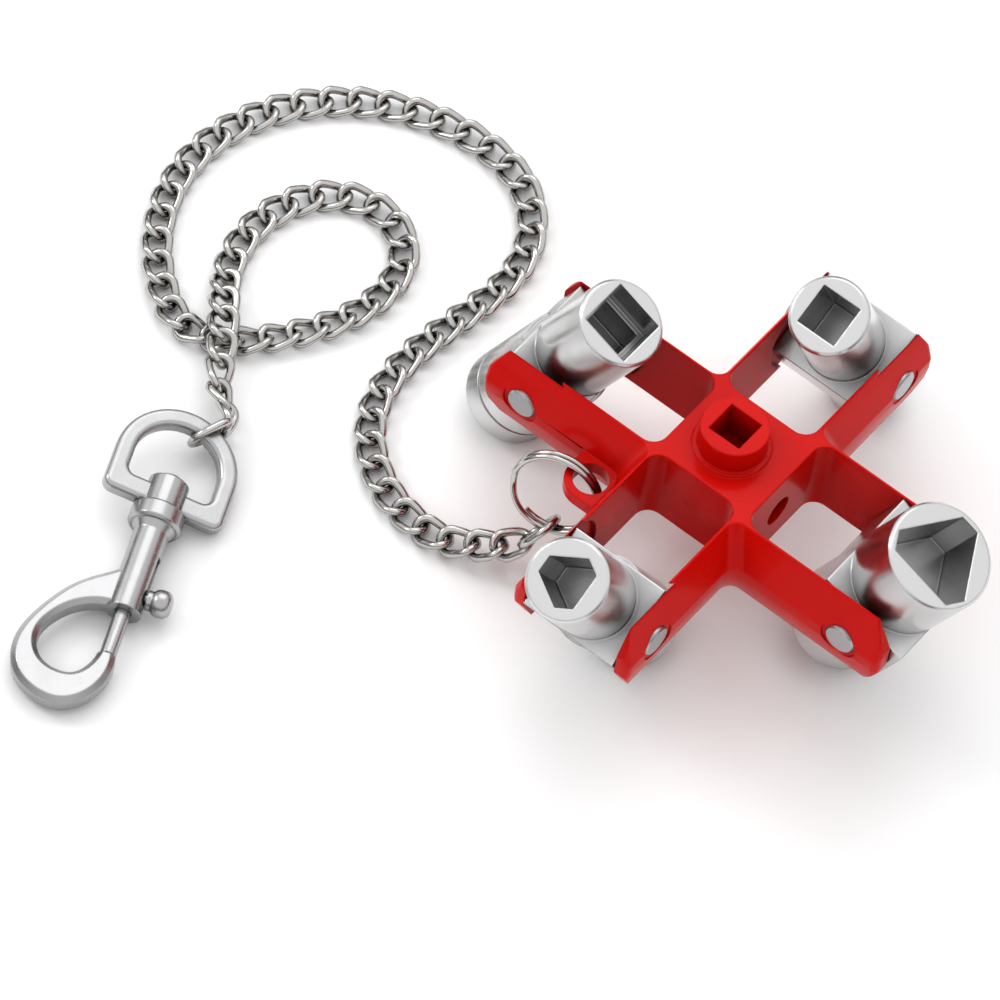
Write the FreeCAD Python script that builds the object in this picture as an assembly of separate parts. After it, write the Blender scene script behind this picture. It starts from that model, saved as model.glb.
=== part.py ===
import FreeCAD, Part
import math
import os
from FreeCAD import Vector

os.makedirs("parts", exist_ok=True)

# Four-arm utility key with a split ring, a curb chain and a swivel bolt snap.
# Millimetres. Z is up, X and Y run along the arms, and the origin is the centre of the mouth
# of the square socket in the boss. West is -X, east +X, south -Y and north +Y.

# ---- cross body ----
BODY_HEIGHT = 17.5        # flat top to underside
BOSS_RISE = 5.65          # boss above the flat top
BOSS_DIA = 12.4
BOSS_FOOT = 0.9           # soft step round the foot of the boss
BOSS_SOCKET = 6.7         # across flats
BOSS_SOCKET_DEPTH = 8.5
PIVOT_REACH = 36.0        # centre of the body to each pivot pin
ARM_PAST_PIN = 8.5        # arm tip beyond the pin
ARM_TOP_PAST_PIN = 5.3    # flat top ends this far beyond the pin
ARM_TIP_FLAT = 5.0        # height of the upright facet at the tip
INNER_CORNER = 2.5        # fillet between neighbouring arms
TIP_CORNER = 1.4          # rounding of the tips, seen from above
WINDOW_CORNER = 3.0       # fillet in the blind corners of the windows
WINDOW_DRAFT = 0.15       # windows widen upward by this on each side
RELIEF_RADIUS = 10.5      # round relief in the cheeks about each pin
BROW_DROP = 1.8           # upper crease of a cheek, below the top
SHOULDER_DROP = 3.4       # lower crease of a cheek, below the top
HEEL_RISE = 3.7           # soft lower edge of a cheek, height
SIDE_BORE_DIA = 6.0
SIDE_BORE_DEPTH = 11.0
SIDE_BORE_DROP = 0.5      # below the pin plane

# per arm: wall face from the centre, fork half width and relief depth, then the cheek's width
# on top, brow, shoulder, middle, heel and foot
WEST = dict(
    face=9.6, fork=9.35, relief=0.7,
    top=0.45, brow=1.35, shoulder=2.15, middle=3.9, heel=3.25, foot=1.9,
)
EAST = dict(
    face=11.6, fork=11.4, relief=0.0,
    top=0.45, brow=1.1, shoulder=1.7, middle=3.4, heel=2.7, foot=1.2,
)
SOUTH = dict(
    face=9.7, fork=9.3, relief=0.7,
    top=0.45, brow=1.15, shoulder=1.75, middle=3.5, heel=3.0, foot=2.1,
)
NORTH = dict(
    face=9.8, fork=9.4, relief=0.7,
    top=0.45, brow=1.15, shoulder=1.75, middle=3.4, heel=3.0, foot=2.2,
)

# ---- ring lug ----
LUG_HOLE_X = -16.8
LUG_HOLE_Y = -17.3
LUG_HOLE_DIA = 6.5
LUG_RIM = 1.5             # metal round the hole
LUG_TOP = 0.4             # above the pin plane
LUG_THICK = 2.8

# ---- pivot pins ----
PIN_DIA = 6.0
PIN_SET_IN = 0.15         # pin ends below the cheek's outer face
PIN_RECESS_DIA = 7.5
PIN_RECESS_DEPTH = 0.4
PIN_CHAMFER = 0.3
PIN_CLEARANCE = 0.05      # radial, key hub on its pin
HUB_CLEARANCE = 0.25      # hub to cheek, each side

# ---- keys: each has a hub block and a barrel to each side of it ----
KEY_WEST = dict(tilt=25.5, hub=15.8, thick=9.0, up=23.3, up_dia=16.1, down=23.9, down_dia=17.8)
KEY_EAST = dict(tilt=24.0, hub=19.0, thick=10.5, up=20.2, up_dia=19.7, down=21.0, down_dia=18.6)
KEY_SOUTH = dict(tilt=30.7, hub=16.0, thick=9.0, up=24.7, up_dia=15.0, down=24.5, down_dia=17.2)
KEY_NORTH = dict(tilt=26.2, hub=17.0, thick=9.0, up=23.2, up_dia=14.6, down=24.6, down_dia=15.0)
BARREL_CHAMFER = 0.5
SOCKET_DEPTH = 12.5
SQUARE_WEST_UP = 10.0
SQUARE_WEST_STEP = 8.0    # smaller square below the first
SQUARE_STEP_DEPTH = 6.0
TRIANGLE_WEST_DOWN = 4.6  # centre to flat
SQUARE_NORTH_UP = 8.0
SQUARE_NORTH_DOWN = 6.0
TRIANGLE_SOUTH_UP = 3.9
BIT_SOUTH_BORE = 7.0      # double-bit socket: round bore and a cross slot
BIT_SOUTH_SLOT = 3.0
BIT_SOUTH_SPAN = 12.0
TRIANGLE_EAST_UP = 5.9
SQUARE_EAST_DOWN = 12.0
TRIANGLE_CUT = 1.45       # corner flats stand this many times the centre-to-flat size out
TRIANGLE_SMALL_CUT = 1.27
GROOVE_AT = 18.1          # ring groove on the west key's lower barrel
GROOVE_WIDTH = 0.6
GROOVE_DEPTH = 0.4

# ---- split ring ----
RING_CENTRE = Vector(-21.75, -19.98, -6.08)   # from the centre of the body
RING_AXIS = Vector(0.241, -0.935, 0.259)
RING_OUTER_RADIUS = 8.7
RING_WIRE = 1.15
RING_COIL_GAP = 0.04
RING_JOG = 50.0           # degrees over which one coil steps to the next
RING_END_GAP = 5.0        # degrees from each end of the wire to the step

# ---- curb chain ----
CHAIN_WIRE = 1.3
CHAIN_PITCH = 5.3
CHAIN_WIDTH = 6.2
CHAIN_PLAY = 0.2
CHAIN_TWIST = 45.0        # degrees at each end of a link
CHAIN_LIFT = 1.87         # its middle above the surface that it lies on
FLOOR_DROP = 25.2         # the surface it lies on, below the pin plane
END_WIRE = 1.5            # plain oval links at both ends of the chain
END_WIDTH = 7.4
END_LENGTH = 9.6
END_PLAY = 0.15
RING_LINK_PLAY = 0.85     # end link to split ring
START_ROLL = -2.4         # degrees that the first link is turned about the chain
START_ROLL_LINKS = 4      # links over which that fades
END_ROLL = -58.0
END_ROLL_LINKS = 4

# ---- swivel bolt snap, in its own axis: S from the eye to the hook, T to the right ----
SNAP_ORIGIN_X = -76.4
SNAP_ORIGIN_Y = -62.6
SNAP_HEADING = -66.8      # degrees from +X
SNAP_DIP = 2.6            # degrees that the hook end hangs down
SNAP_LIFT = 0.13          # the collar rests on its front rim
EYE_ROLL = 15.0
EYE_WIDTH = 22.9
EYE_ARCH_AT = -9.9        # centre of the arch
EYE_BAND = 3.5
EYE_THICK = 3.2
EYE_EDGE = 1.0
EYE_LINK_ANGLE = 19.8     # where the chain hangs on the arch, from its top
EYE_LINK_PLAY = 0.67
EYE_BAR_FROM = -5.0
EYE_BAR_TO = -0.7
EYE_BOSS_DIA = 7.4
EYE_BOSS_FROM = -6.4
STUD_DIA = 3.2
STUD_CLEARANCE = 0.05
STUD_DEPTH = 3.2          # into the snap body
DOME_DIA = 6.0
DOME_HEIGHT = 1.7
SWIVEL_GAP = 0.15
COLLAR_DIA = 9.8
COLLAR_TO = 3.2
BARREL_DIA = 6.4
BARREL_TO = 21.3
BARREL_BORE = 3.6
BORE_FROM = 4.6
GUIDE_FROM = 16.5         # the bore narrows to guide the bolt from here
BOLT_DIA = 3.0
BOLT_CLEARANCE = 0.05
BOLT_REAR = 15.6
BOLT_TIP = 30.7
BOLT_STROKE = 7.0
HOOK_THICK = 4.2
HOOK_EDGE = 1.0
HOOK_FROM = 12.6          # the hook's shank springs from the barrel here
HOOK_ROOT = 1.9           # and reaches this near to its axis
NOSE_GAP = 0.15
SLOT_PLAY = 0.3           # slot to knob neck, each side
KNOB_HEAD = 5.1           # across the flattened ball
KNOB_HEAD_HIGH = 3.9
KNOB_ROUND = 1.7          # its soft edges
KNOB_SHOULDER = 3.7       # between the barrel and the ball
KNOB_NECK = 2.0           # in the slot
KNOB_AT = 17.5
KNOB_OUT = 5.9            # centre of the ball, from the barrel's axis
KNOB_PLAY = 0.15          # shoulder to barrel
SPRING_WIRE = 0.4
SPRING_TURNS = 8
SPRING_END_PLAY = 0.05

TOP = -BOSS_RISE
PIN_Z = TOP - BODY_HEIGHT / 2
BOTTOM = TOP - BODY_HEIGHT
TIP = PIVOT_REACH + ARM_PAST_PIN
CENTRE = Vector(0, 0, PIN_Z)
X = Vector(1, 0, 0)
Y = Vector(0, 1, 0)
Z = Vector(0, 0, 1)


def save(name, shape):
    shape.exportStep("parts/" + name + ".step")


def cylinder(diameter, length, start, axis):
    return Part.makeCylinder(diameter / 2, length, start, axis)


def rounded(points, radii, z):
    """A closed outline in the plane z, each corner rounded by its radius."""
    pts = [Vector(x, y, z) for x, y in points]
    count = len(pts)
    ends = []
    for i in range(count):
        here = pts[i]
        back = (pts[i - 1] - here).normalize()
        on = (pts[(i + 1) % count] - here).normalize()
        half = back.getAngle(on) / 2
        reach = radii[i] / math.tan(half)
        bisector = (back + on).normalize()
        middle = here + bisector * (radii[i] / math.sin(half) - radii[i])
        ends.append((here + back * reach, middle, here + on * reach))
    edges = []
    for i in range(count):
        first, middle, last = ends[i]
        edges.append(Part.Arc(first, middle, last).toShape())
        edges.append(Part.makeLine(last, ends[(i + 1) % count][0]))
    return Part.Wire(edges)


# ---- cross body ----
def cross_outline(level, z):
    west = WEST["fork"] + WEST[level]
    east = EAST["fork"] + EAST[level]
    south = SOUTH["fork"] + SOUTH[level]
    north = NORTH["fork"] + NORTH[level]
    points = [
        (TIP, -east), (TIP, east), (north, east), (north, TIP), (-north, TIP), (-north, west),
        (-TIP, west), (-TIP, -west), (-south, -west), (-south, -TIP), (south, -TIP), (south, -east),
    ]
    radii = [INNER_CORNER if i % 3 == 2 else TIP_CORNER for i in range(12)]
    return rounded(points, radii, z)


LEVELS = [
    ("top", TOP),
    ("brow", TOP - BROW_DROP),
    ("shoulder", TOP - SHOULDER_DROP),
    ("middle", PIN_Z + 0.5),
    ("middle", PIN_Z - 2.0),
    ("heel", BOTTOM + HEEL_RISE),
    ("foot", BOTTOM),
]
body = Part.makeLoft([cross_outline(level, z) for level, z in LEVELS], True, True)

tip_top = PIN_Z + ARM_TIP_FLAT / 2
tip_low = PIN_Z - ARM_TIP_FLAT / 2
run = PIVOT_REACH + ARM_TOP_PAST_PIN
SLOPE = (TOP - tip_top) / (TIP - run)


def tip_wedge(sign):
    """What is cut from above or below each arm's tip, for the arm along +X."""
    edge = TOP if sign > 0 else BOTTOM
    flat = tip_top if sign > 0 else tip_low
    points = [
        Vector(run - 5, -40, edge + sign * 5 * SLOPE), Vector(TIP + 5, -40, flat - sign * 5 * SLOPE),
        Vector(TIP + 5, -40, edge + sign * 40), Vector(run - 5, -40, edge + sign * 40),
    ]
    face = Part.Face(Part.makePolygon(points + points[:1]))
    return face.extrude(Vector(0, 80, 0))


def window(arm):
    """The gap of a fork, for the arm along +X."""
    wires = []
    for z, grow in ((BOTTOM - 1, -WINDOW_DRAFT), (TOP + 1, WINDOW_DRAFT)):
        half = arm["fork"] + grow
        points = [(arm["face"], -half), (TIP + 9, -half), (TIP + 9, half), (arm["face"], half)]
        wires.append(rounded(points, [WINDOW_CORNER] * 4, z))
    gap = Part.makeLoft(wires, True, True)
    if arm["relief"] > 0:
        half = arm["fork"] + arm["relief"]
        start = Vector(PIVOT_REACH, -half, PIN_Z)
        gap = gap.fuse(cylinder(2 * RELIEF_RADIUS, 2 * half, start, Y))
    return gap


def pin_cuts(arm):
    """The pin's hole through both cheeks and the recess round each end, for the arm along +X."""
    half = arm["fork"] + arm["middle"]
    cuts = [cylinder(PIN_DIA, 2 * half + 6, Vector(PIVOT_REACH, -half - 3, PIN_Z), Y)]
    for sign in (-1, 1):
        start = Vector(PIVOT_REACH, sign * (half - PIN_RECESS_DEPTH), PIN_Z)
        cuts.append(cylinder(PIN_RECESS_DIA, 4, start, Y * sign))
    return cuts


TURNS = [(EAST, 0), (NORTH, 90), (WEST, 180), (SOUTH, 270)]
for arm, turn in TURNS:
    cuts = [tip_wedge(1), tip_wedge(-1), window(arm)] + pin_cuts(arm)
    for cut in cuts:
        cut.rotate(Vector(0, 0, 0), Z, turn)
        body = body.cut(cut)

boss_radius = BOSS_DIA / 2
profile = [
    (0, TOP - 1), (boss_radius + BOSS_FOOT, TOP - 1), (boss_radius + BOSS_FOOT, TOP),
    (boss_radius + BOSS_FOOT * 0.3, TOP + BOSS_FOOT * 0.4), (boss_radius, TOP + BOSS_FOOT * 1.1),
    (boss_radius, -0.5), (boss_radius - 0.5, 0), (0, 0),
]
wire = Part.makePolygon([Vector(r, 0, z) for r, z in profile + profile[:1]])
body = body.fuse(Part.Face(wire).revolve(Vector(0, 0, 0), Z, 360))

rim = LUG_HOLE_DIA / 2 + LUG_RIM
west_side = LUG_HOLE_X - rim
south_side = LUG_HOLE_Y - rim
inner_x = -(SOUTH["fork"] + SOUTH["foot"] / 2)
inner_y = -(WEST["fork"] + WEST["foot"] / 2)
lug_points = [(west_side, south_side), (inner_x, south_side), (inner_x, inner_y), (west_side, inner_y)]
lug_wire = rounded(lug_points, [rim, 0.3, 0.3, 0.3], PIN_Z + LUG_TOP - LUG_THICK)
body = body.fuse(Part.Face(lug_wire).extrude(Vector(0, 0, LUG_THICK)))
hole_start = Vector(LUG_HOLE_X, LUG_HOLE_Y, PIN_Z + LUG_TOP - LUG_THICK - 1)
body = body.cut(cylinder(LUG_HOLE_DIA, LUG_THICK + 2, hole_start, Z))

half = BOSS_SOCKET / 2
socket_corner = Vector(-half, -half, -BOSS_SOCKET_DEPTH)
body = body.cut(Part.makeBox(BOSS_SOCKET, BOSS_SOCKET, BOSS_SOCKET_DEPTH + 1, socket_corner))
bore_start = Vector(EAST["face"] - SIDE_BORE_DEPTH, 0, PIN_Z - SIDE_BORE_DROP)
body = body.cut(cylinder(SIDE_BORE_DIA, SIDE_BORE_DEPTH + 1, bore_start, X))
save("cross_body", body)


# ---- pivot pins ----
def pin(arm, turn):
    half = arm["fork"] + arm["middle"] - PIN_SET_IN
    shaft = cylinder(PIN_DIA, 2 * half, Vector(PIVOT_REACH, -half, PIN_Z), Y)
    ends = [e for e in shaft.Edges if isinstance(e.Curve, Part.Circle)]
    shaft = shaft.makeChamfer(PIN_CHAMFER, ends)
    shaft.rotate(Vector(0, 0, 0), Z, turn)
    return shaft


for name, (arm, turn) in zip(("pin_east", "pin_north", "pin_west", "pin_south"), TURNS):
    save(name, pin(arm, turn))


# ---- keys, built upright about the pin centre with the pin along Y ----
def polygon_prism(points, low, high):
    wire = Part.makePolygon([Vector(x, y, low) for x, y in points + points[:1]])
    return Part.Face(wire).extrude(Vector(0, 0, high - low))


def square(size, low, high):
    half = size / 2
    return polygon_prism([(-half, -half), (half, -half), (half, half), (-half, half)], low, high)


def triangle(apothem, cut, low, high, heading):
    """A triangle with its corners cut off, one corner towards the heading."""
    out = apothem * cut
    half = (2 * apothem - out) * math.tan(math.radians(30))
    points = []
    for k in range(3):
        a = math.radians(heading + 120 * k)
        along = (math.cos(a), math.sin(a))
        for side in (-half, half):
            points.append((along[0] * out - along[1] * side, along[1] * out + along[0] * side))
    return polygon_prism(points, low, high)


def barrel(diameter, height, sign):
    shape = cylinder(diameter, height, Vector(0, 0, 0), Z * sign)
    rim_edge = [e for e in shape.Edges if isinstance(e.Curve, Part.Circle) and abs(e.Curve.Center.z) > 1]
    return shape.makeChamfer(BARREL_CHAMFER, rim_edge)


def key(spec, arm, sockets):
    width = 2 * (arm["fork"] + arm["relief"] - HUB_CLEARANCE)
    hub_corner = Vector(-spec["hub"] / 2, -width / 2, -spec["thick"] / 2)
    hub = Part.makeBox(spec["hub"], width, spec["thick"], hub_corner)
    shape = hub.fuse([barrel(spec["up_dia"], spec["up"], 1), barrel(spec["down_dia"], spec["down"], -1)])
    for socket in sockets:
        shape = shape.cut(socket)
    hole = cylinder(PIN_DIA + 2 * PIN_CLEARANCE, width + 4, Vector(0, -width / 2 - 2, 0), Y)
    return shape.cut(hole)


def place_key(shape, spec, turn, along_y):
    shape = shape.copy()
    shape.rotate(Vector(0, 0, 0), Y, spec["tilt"])
    if along_y:
        shape.rotate(Vector(0, 0, 0), Z, -90)
    a = math.radians(turn)
    shape.translate(Vector(PIVOT_REACH * math.cos(a), PIVOT_REACH * math.sin(a), PIN_Z))
    return shape


def up_from(spec):
    return spec["up"] - SOCKET_DEPTH


west_up = square(SQUARE_WEST_UP, KEY_WEST["up"] - SQUARE_STEP_DEPTH, KEY_WEST["up"] + 1)
west_step = square(SQUARE_WEST_STEP, up_from(KEY_WEST), KEY_WEST["up"] + 1)
west_end = -KEY_WEST["down"]
west_down = triangle(TRIANGLE_WEST_DOWN, TRIANGLE_CUT, west_end - 1, west_end + SOCKET_DEPTH, 90)
groove_start = Vector(0, 0, -GROOVE_AT - GROOVE_WIDTH / 2)
groove_floor = KEY_WEST["down_dia"] - 2 * GROOVE_DEPTH
groove = cylinder(KEY_WEST["down_dia"] + 2, GROOVE_WIDTH, groove_start, Z)
groove = groove.cut(cylinder(groove_floor, GROOVE_WIDTH, groove_start, Z))
key_west = key(KEY_WEST, WEST, [west_up, west_step, west_down, groove])
save("key_west", place_key(key_west, KEY_WEST, 180, False))

east_up = triangle(TRIANGLE_EAST_UP, TRIANGLE_CUT, up_from(KEY_EAST), KEY_EAST["up"] + 1, 90)
east_down = square(SQUARE_EAST_DOWN, -KEY_EAST["down"] - 1, -KEY_EAST["down"] + SOCKET_DEPTH)
key_east = key(KEY_EAST, EAST, [east_up, east_down])
save("key_east", place_key(key_east, KEY_EAST, 0, False))

south_up = triangle(TRIANGLE_SOUTH_UP, TRIANGLE_SMALL_CUT, up_from(KEY_SOUTH), KEY_SOUTH["up"] + 1, 270)
south_bore = cylinder(BIT_SOUTH_BORE, SOCKET_DEPTH + 1, Vector(0, 0, -KEY_SOUTH["down"] - 1), Z)
slot_corner = Vector(-BIT_SOUTH_SLOT / 2, -BIT_SOUTH_SPAN / 2, -KEY_SOUTH["down"] - 1)
south_slot = Part.makeBox(BIT_SOUTH_SLOT, BIT_SOUTH_SPAN, SOCKET_DEPTH + 1, slot_corner)
key_south = key(KEY_SOUTH, SOUTH, [south_up, south_bore, south_slot])
save("key_south", place_key(key_south, KEY_SOUTH, 270, True))

north_up = square(SQUARE_NORTH_UP, up_from(KEY_NORTH), KEY_NORTH["up"] + 1)
north_down = square(SQUARE_NORTH_DOWN, -KEY_NORTH["down"] - 1, -KEY_NORTH["down"] + SOCKET_DEPTH)
key_north = key(KEY_NORTH, NORTH, [north_up, north_down])
save("key_north", place_key(key_north, KEY_NORTH, 90, True))


# ---- wire parts: a round wire along arcs that meet tangentially ----
def arc_wire(start, heading, end, diameter):
    """A piece of round wire along the arc from start to end that leaves start along heading."""
    chord = end - start
    side = chord - heading * chord.dot(heading)
    if side.Length < 1e-6:
        return cylinder(diameter, chord.Length, start, heading)
    radius = chord.Length ** 2 / (2 * side.Length)
    inward = Vector(side).normalize()
    angle = 2 * math.atan2(side.Length, chord.dot(heading))
    disc = Part.Face(Part.Wire(Part.Circle(start, heading, diameter / 2).toShape()))
    return disc.revolve(start + inward * radius, heading.cross(inward), math.degrees(angle))


def two_arcs(p0, t0, p1, t1, diameter):
    """Wire from p0, heading t0, to p1, heading t1, as two arcs that meet tangentially."""
    v = p1 - p0
    both = v.dot(t0 + t1)
    bend = 2 * (1 - t0.dot(t1))
    reach = v.Length / 2 if bend < 1e-9 else (math.sqrt(both * both + bend * v.dot(v)) - both) / bend
    first = p0 + t0 * reach
    last = p1 - t1 * reach
    middle = (first + last) * 0.5
    heading = (last - first).normalize()
    return [arc_wire(p0, t0, middle, diameter), arc_wire(middle, heading, p1, diameter)]


def closed_wire(points, headings, diameter):
    """A closed loop of wire through the points."""
    pieces = []
    count = len(points)
    for i in range(count):
        on = (i + 1) % count
        pieces += two_arcs(points[i], headings[i], points[on], headings[on], diameter)
    return pieces[0].fuse(pieces[1:]).removeSplitter()


def curb_link():
    """One link of the chain, lying along X, its ends twisted opposite ways so that it lies flat."""
    a = (CHAIN_PITCH + CHAIN_PLAY + CHAIN_WIRE) / 2
    b = (CHAIN_WIDTH - CHAIN_WIRE) / 2

    def at(t):
        c, s = math.cos(t), math.sin(t)
        x = a * math.copysign(abs(c) ** 0.85, c)
        y = b * math.copysign(abs(s) ** 0.85, s)
        roll = math.radians(CHAIN_TWIST) * x / a
        return Vector(x, y * math.cos(roll), y * math.sin(roll))

    count = 8
    points = [at(2 * math.pi * i / count) for i in range(count)]
    small = 1e-3
    headings = []
    for i in range(count):
        t = 2 * math.pi * i / count
        headings.append((at(t + small) - at(t - small)).normalize())
    return closed_wire(points, headings, CHAIN_WIRE)


def oval_link(length, width, diameter):
    """A flat oval link along X: two half rounds joined by straight sides."""
    radius = (width - diameter) / 2
    straight = (length - width) / 2
    points = [
        Vector(straight + radius, 0, 0), Vector(straight, radius, 0), Vector(-straight, radius, 0),
        Vector(-straight - radius, 0, 0), Vector(-straight, -radius, 0), Vector(straight, -radius, 0),
    ]
    headings = [Y, X * -1, X * -1, Y * -1, X, X]
    pieces = []
    for i in range(6):
        pieces.append(arc_wire(points[i], headings[i], points[(i + 1) % 6], diameter))
    return pieces[0].fuse(pieces[1:]).removeSplitter()


def frame_at(origin, along, up):
    """A placement whose X runs along and whose Z is as near up as that allows."""
    x = Vector(along).normalize()
    z = (up - x * up.dot(x)).normalize()
    y = z.cross(x)
    m = FreeCAD.Matrix(x.x, y.x, z.x, origin.x, x.y, y.y, z.y, origin.y, x.z, y.z, z.z, origin.z, 0, 0, 0, 1)
    return FreeCAD.Placement(m)


# ---- split ring: two flat coils side by side, joined by one step ----
ring_axis = Vector(RING_AXIS).normalize()
ring_radius = RING_OUTER_RADIUS - RING_WIRE / 2
coil_step = RING_WIRE + RING_COIL_GAP


def ring_point(angle, height):
    a = math.radians(angle)
    return Vector(ring_radius * math.cos(a), ring_radius * math.sin(a), height)


def ring_heading(angle):
    a = math.radians(angle)
    return Vector(-math.sin(a), math.cos(a), 0)


low = -coil_step / 2
jog_end = RING_JOG + RING_END_GAP
coils = (
    (jog_end, 200, low), (200, 360 - RING_END_GAP, low),
    (360 + RING_JOG, 560, -low), (560, 720 - 2 * RING_END_GAP, -low),
)
pieces = []
for first, last, height in coils:
    coil_start, coil_end = ring_point(first, height), ring_point(last, height)
    pieces.append(arc_wire(coil_start, ring_heading(first), coil_end, RING_WIRE))
step_from = 360 - RING_END_GAP
step_to = 360 + RING_JOG
step_a, step_b = ring_point(step_from, low), ring_point(step_to, -low)
pieces += two_arcs(step_a, ring_heading(step_from), step_b, ring_heading(step_to), RING_WIRE)
split_ring = pieces[0].fuse(pieces[1:]).removeSplitter()
split_ring.Placement = frame_at(CENTRE + RING_CENTRE, ring_axis.cross(Z), ring_axis)
save("split_ring", split_ring)

# ---- snap frame: X from the eye to the hook, Z up; the collar rests on the floor ----
snap_origin = CENTRE + Vector(SNAP_ORIGIN_X, SNAP_ORIGIN_Y, COLLAR_DIA / 2 + SNAP_LIFT - FLOOR_DROP)
heading = FreeCAD.Rotation(Z, SNAP_HEADING)
dip = FreeCAD.Rotation(Y, SNAP_DIP)
snap_place = FreeCAD.Placement(snap_origin, heading.multiply(dip))
eye_place = snap_place.multiply(FreeCAD.Placement(Vector(0, 0, 0), FreeCAD.Rotation(X, -EYE_ROLL)))

# ---- where the chain meets its two end links ----
end_inside = END_LENGTH / 2 - END_WIRE
half_wire = CHAIN_WIRE / 2
link_overlap = (CHAIN_PLAY + CHAIN_WIRE) / 2
ring_side = ring_axis.cross(Z).normalize()
ring_low = CENTRE + RING_CENTRE - ring_side.cross(ring_axis) * ring_radius
START_LEAN = Vector(-0.455, -0.577, -0.756).normalize()
start_hang = end_inside - RING_WIRE / 2 - RING_LINK_PLAY
start_reach = start_hang + end_inside - half_wire - END_PLAY + link_overlap
chain_start = ring_low + START_LEAN * start_reach

arch_angle = math.radians(EYE_LINK_ANGLE)
arch_mid = EYE_WIDTH / 2 - EYE_BAND / 2
eye_out = Vector(-math.cos(arch_angle), math.sin(arch_angle), 0)
eye_point = eye_place.multVec(Vector(EYE_ARCH_AT, 0, 0) + eye_out * arch_mid)
eye_tangent = eye_place.Rotation.multVec(Vector(math.sin(arch_angle), math.cos(arch_angle), 0))
END_LEAN = Vector(0.283, 0.806, 0.066).normalize()
end_hang = end_inside - EYE_BAND / 2 - EYE_LINK_PLAY
end_reach = end_hang + end_inside - half_wire - END_PLAY + link_overlap
chain_end = eye_point + END_LEAN * end_reach

# ---- chain route: control points of a clamped quadratic B-spline, from the centre of the body ----
FLAT = CHAIN_LIFT - FLOOR_DROP
OVER = FLAT + 3.7
ROUTE = [
    (-21.84, -25.72, -17.45), (-33.3, -31.1, -21.8), (-38.2, -32.2, FLAT), (-47.9, -31.4, FLAT),
    (-55.5, -27.7, FLAT), (-61.7, -21.8, FLAT), (-65.2, -14.0, FLAT), (-66.0, -5.5, FLAT),
    (-65.2, 2.9, FLAT), (-63.8, 11.2, FLAT), (-62.7, 19.6, FLAT), (-64.0, 28.0, FLAT), (-68.5, 35.4, FLAT),
    (-75.3, 40.6, FLAT), (-83.7, 42.2, FLAT), (-92.1, 41.6, FLAT), (-100.3, 39.3, FLAT),
    (-107.8, 35.3, FLAT), (-114.2, 29.7, FLAT), (-119.2, 22.9, FLAT), (-122.6, 15.1, FLAT),
    (-124.1, 6.7, FLAT), (-123.3, -1.7, FLAT), (-120.4, -9.7, FLAT), (-115.8, -16.9, FLAT),
    (-109.7, -22.5, FLAT), (-102.3, -27.5, FLAT), (-93.9, -25.5, FLAT), (-87.8, -19.3, FLAT),
    (-83.0, -12.5, FLAT), (-79.1, -4.8, FLAT), (-77.7, 3.5, FLAT), (-79.5, 12.0, FLAT), (-86.2, 17.6, FLAT),
    (-95.1, 17.5, FLAT), (-101.9, 12.1, FLAT), (-105.2, 4.2, FLAT), (-105.5, -4.3, FLAT),
    (-102.7, -12.5, FLAT - 0.15), (-97.9, -18.9, -20.51), (-92.6, -25.3, OVER + 0.25),
    (-84.87, -36.94, -20.99), (-78.43, -36.8, -21.21),
]
poles = [chain_start] + [CENTRE + Vector(*p) for p in ROUTE] + [chain_end]
spans = len(poles) - 2
knots = [float(k) for k in range(spans + 1)]
mults = [3] + [1] * (spans - 1) + [3]
route = Part.BSplineCurve(poles, mults, knots, False, 2, [1.0] * len(poles), False)
route_length = route.length()
link_count = int(route_length / CHAIN_PITCH)
link_step = route_length / link_count


def route_at(distance):
    distance = min(max(distance, 0.0), route_length)
    return route.value(route.parameterAtDistance(distance, 0.0))


def route_radius(first, last):
    """The least radius of the route between these distances from its two ends."""
    steps = [first + (route_length - first - last) * k / 2000 for k in range(2001)]
    bends = [route.curvature(route.parameterAtDistance(d, 0.0)) for d in steps]
    return 1 / max(bends)


lying = route_radius(3 * link_step, 3 * link_step)
print("chain: %.1f mm along the route, %d links" % (route_length, link_count))
print("least radius of the route: %.1f mm, the three links at each end apart" % lying)

link = curb_link()
links = []
for i in range(link_count):
    middle = link_step * (i + 0.5)
    a, b = route_at(middle - link_step / 2), route_at(middle + link_step / 2)
    from_end = link_count - 1 - i
    roll = START_ROLL * max(0.0, 1 - i / START_ROLL_LINKS)
    roll += END_ROLL * max(0.0, 1 - from_end / END_ROLL_LINKS)
    place = frame_at((a + b) * 0.5, b - a, Z)
    placed = link.copy()
    placed.Placement = place.multiply(FreeCAD.Placement(Vector(0, 0, 0), FreeCAD.Rotation(X, roll)))
    links.append(placed)

RUNS = 4
for k in range(RUNS):
    group = links[link_count * k // RUNS:link_count * (k + 1) // RUNS]
    save("chain_run_%d" % (k + 1), Part.makeCompound(group))

end_link = oval_link(END_LENGTH, END_WIDTH, END_WIRE)
ring_link = end_link.copy()
ring_link.Placement = frame_at(ring_low + START_LEAN * start_hang, START_LEAN, ring_side)
save("chain_end_ring", ring_link)
eye_link = end_link.copy()
eye_link.Placement = frame_at(eye_point + END_LEAN * end_hang, END_LEAN, eye_tangent)
save("chain_end_snap", eye_link)

# ---- swivel eye ----
arch_outer = EYE_WIDTH / 2
arch_inner = arch_outer - EYE_BAND


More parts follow.
